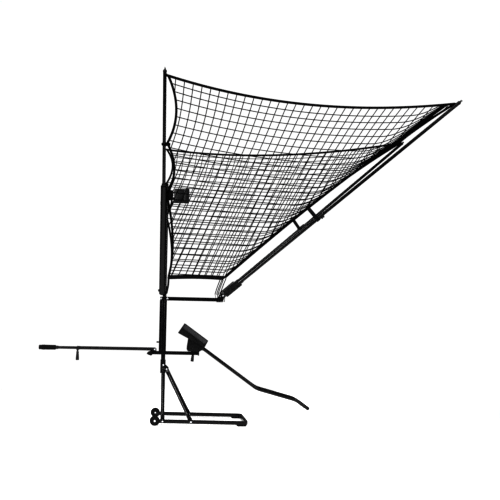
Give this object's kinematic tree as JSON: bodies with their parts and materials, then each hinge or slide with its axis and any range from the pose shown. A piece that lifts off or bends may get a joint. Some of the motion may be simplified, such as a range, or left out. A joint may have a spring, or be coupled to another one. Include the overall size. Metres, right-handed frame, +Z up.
{
  "type": "ball return machine",
  "caption": "Free-standing ball catch-and-return machine: splayed net funnel on a wheeled mast, swivelling tray and ramp, and a long telescopic steering handle.",
  "frame": {"origin": "on the floor, under the middle of the machine's bounding box; the mast's axis stands 0.870 m behind it", "axes": "+X the way the ramp delivers the ball, +Y to the machine's left, +Z up"},
  "size_m": [4.6768, 3.0664, 3.6835],
  "materials": {
    "frame_paint": "satin black powder coat with a faint orange peel",
    "plastic_black": "fine moulded texture",
    "tray_plastic": "satin moulded plastic with a fine grain",
    "bright_zinc": "bright zinc plate",
    "tyre_rubber": "matt rubber tread",
    "skid_rubber": "matt rubber",
    "grip_rubber": "soft moulded rubber",
    "net_cord": "knotted twisted cord",
    "net_webbing": "woven webbing"
  },
  "bodies": {
    "frame": {"base_rail_left": "frame_paint", "base_rail_right": "frame_paint", "base_crossbar": "frame_paint", "wheel_brackets": "frame_paint", "leg_left": "frame_paint", "leg_right": "frame_paint", "brace_left": "frame_paint", "brace_right": "frame_paint", "apex_bracket": "frame_paint", "stub_tube": "frame_paint", "beam": "frame_paint", "post_spigot": "frame_paint", "mast_post": "frame_paint", "head_clamp": "frame_paint", "upright": "frame_paint", "pole_hub": "frame_paint", "pole_outer_left": "frame_paint", "pole_outer_right": "frame_paint", "pole_inner_left": "frame_paint", "pole_inner_right": "frame_paint", "basket_bar": "frame_paint", "front_crossbar": "frame_paint", "sensor_bracket": "frame_paint", "end_plugs": "plastic_black", "pole_collars": "plastic_black", "pole_tips": "plastic_black", "sensor_box": "plastic_black", "frame_bolts": "bright_zinc", "pivot_bolts": "bright_zinc", "wheel_axles": "bright_zinc", "base_skids": "skid_rubber", "net_side_left": "net_cord", "net_side_right": "net_cord", "net_hem": "net_webbing", "net_straps": "net_webbing"},
    "wheel_left": {"tyre_left": "tyre_rubber", "hub_left": "plastic_black"},
    "wheel_right": {"tyre_right": "tyre_rubber", "hub_right": "plastic_black"},
    "ramp": {"pedestal": "tray_plastic", "ramp_tray": "tray_plastic", "ramp_rail_left": "frame_paint", "ramp_rail_right": "frame_paint", "ramp_ties": "frame_paint"},
    "swivel_lock_body": {"swivel_lock": "plastic_black"},
    "handle": {"handle_outer": "frame_paint"},
    "handle_slide": {"handle_inner": "frame_paint", "handle_grip": "grip_rubber"},
    "handle_lock_body": {"handle_lock": "plastic_black"},
    "arms": {"arm_sleeves": "frame_paint", "arm_outer_left": "frame_paint", "arm_outer_right": "frame_paint", "arm_inner_left": "frame_paint", "arm_inner_right": "frame_paint", "arm_collars": "plastic_black", "arm_tips": "plastic_black", "net_front": "net_cord"},
    "post_pin_body": {"post_pin": "plastic_black"},
    "pole_pin_left_body": {"pole_pin_left": "plastic_black"},
    "pole_pin_right_body": {"pole_pin_right": "plastic_black"}
  },
  "joints": [
    {"name": "wheel_left_spin", "type": "hinge", "parent": "frame", "child": "wheel_left", "pos_m": [-0.95, 0.328, 0.056], "axis": [0, 1, 0], "continuous": true},
    {"name": "wheel_right_spin", "type": "hinge", "parent": "frame", "child": "wheel_right", "pos_m": [-0.95, -0.328, 0.056], "axis": [0, 1, 0], "continuous": true},
    {"name": "ramp_swivel", "type": "hinge", "parent": "frame", "child": "ramp", "pos_m": [-0.49, 0, 0.825], "axis": [0, 0, 1], "range_deg": [-90, 90]},
    {"name": "swivel_lock_pull", "type": "slide", "parent": "frame", "child": "swivel_lock_body", "axis": [-0.1045, 0, -0.9945], "range_m": [0, 0.012], "stiffness_N_per_m": 900, "springref_m": -0.006},
    {"name": "handle_fold", "type": "hinge", "parent": "frame", "child": "handle", "pos_m": [-0.971, 0, 0.845], "axis": [0, 1, 0], "range_deg": [0, 80]},
    {"name": "handle_extend", "type": "slide", "parent": "handle", "child": "handle_slide", "axis": [-1, 0, 0], "range_m": [-0.2, 0.25]},
    {"name": "handle_lock_pull", "type": "slide", "parent": "handle", "child": "handle_lock_body", "axis": [0, 0, -1], "range_m": [0, 0.012], "stiffness_N_per_m": 900, "springref_m": -0.006},
    {"name": "arm_fold", "type": "hinge", "parent": "frame", "child": "arms", "pos_m": [-0.188, 0, 1.492], "axis": [0, 1, 0], "range_deg": [-49, 0]},
    {"name": "post_pin_pull", "type": "slide", "parent": "frame", "child": "post_pin_body", "axis": [-1, 0, 0], "range_m": [0, 0.01], "stiffness_N_per_m": 900, "springref_m": -0.006},
    {"name": "pole_pin_left_pull", "type": "slide", "parent": "frame", "child": "pole_pin_left_body", "axis": [-1, 0, 0], "range_m": [0, 0.01], "stiffness_N_per_m": 900, "springref_m": -0.006},
    {"name": "pole_pin_right_pull", "type": "slide", "parent": "frame", "child": "pole_pin_right_body", "axis": [-1, 0, 0], "range_m": [0, 0.01], "stiffness_N_per_m": 900, "springref_m": -0.006}
  ]
}
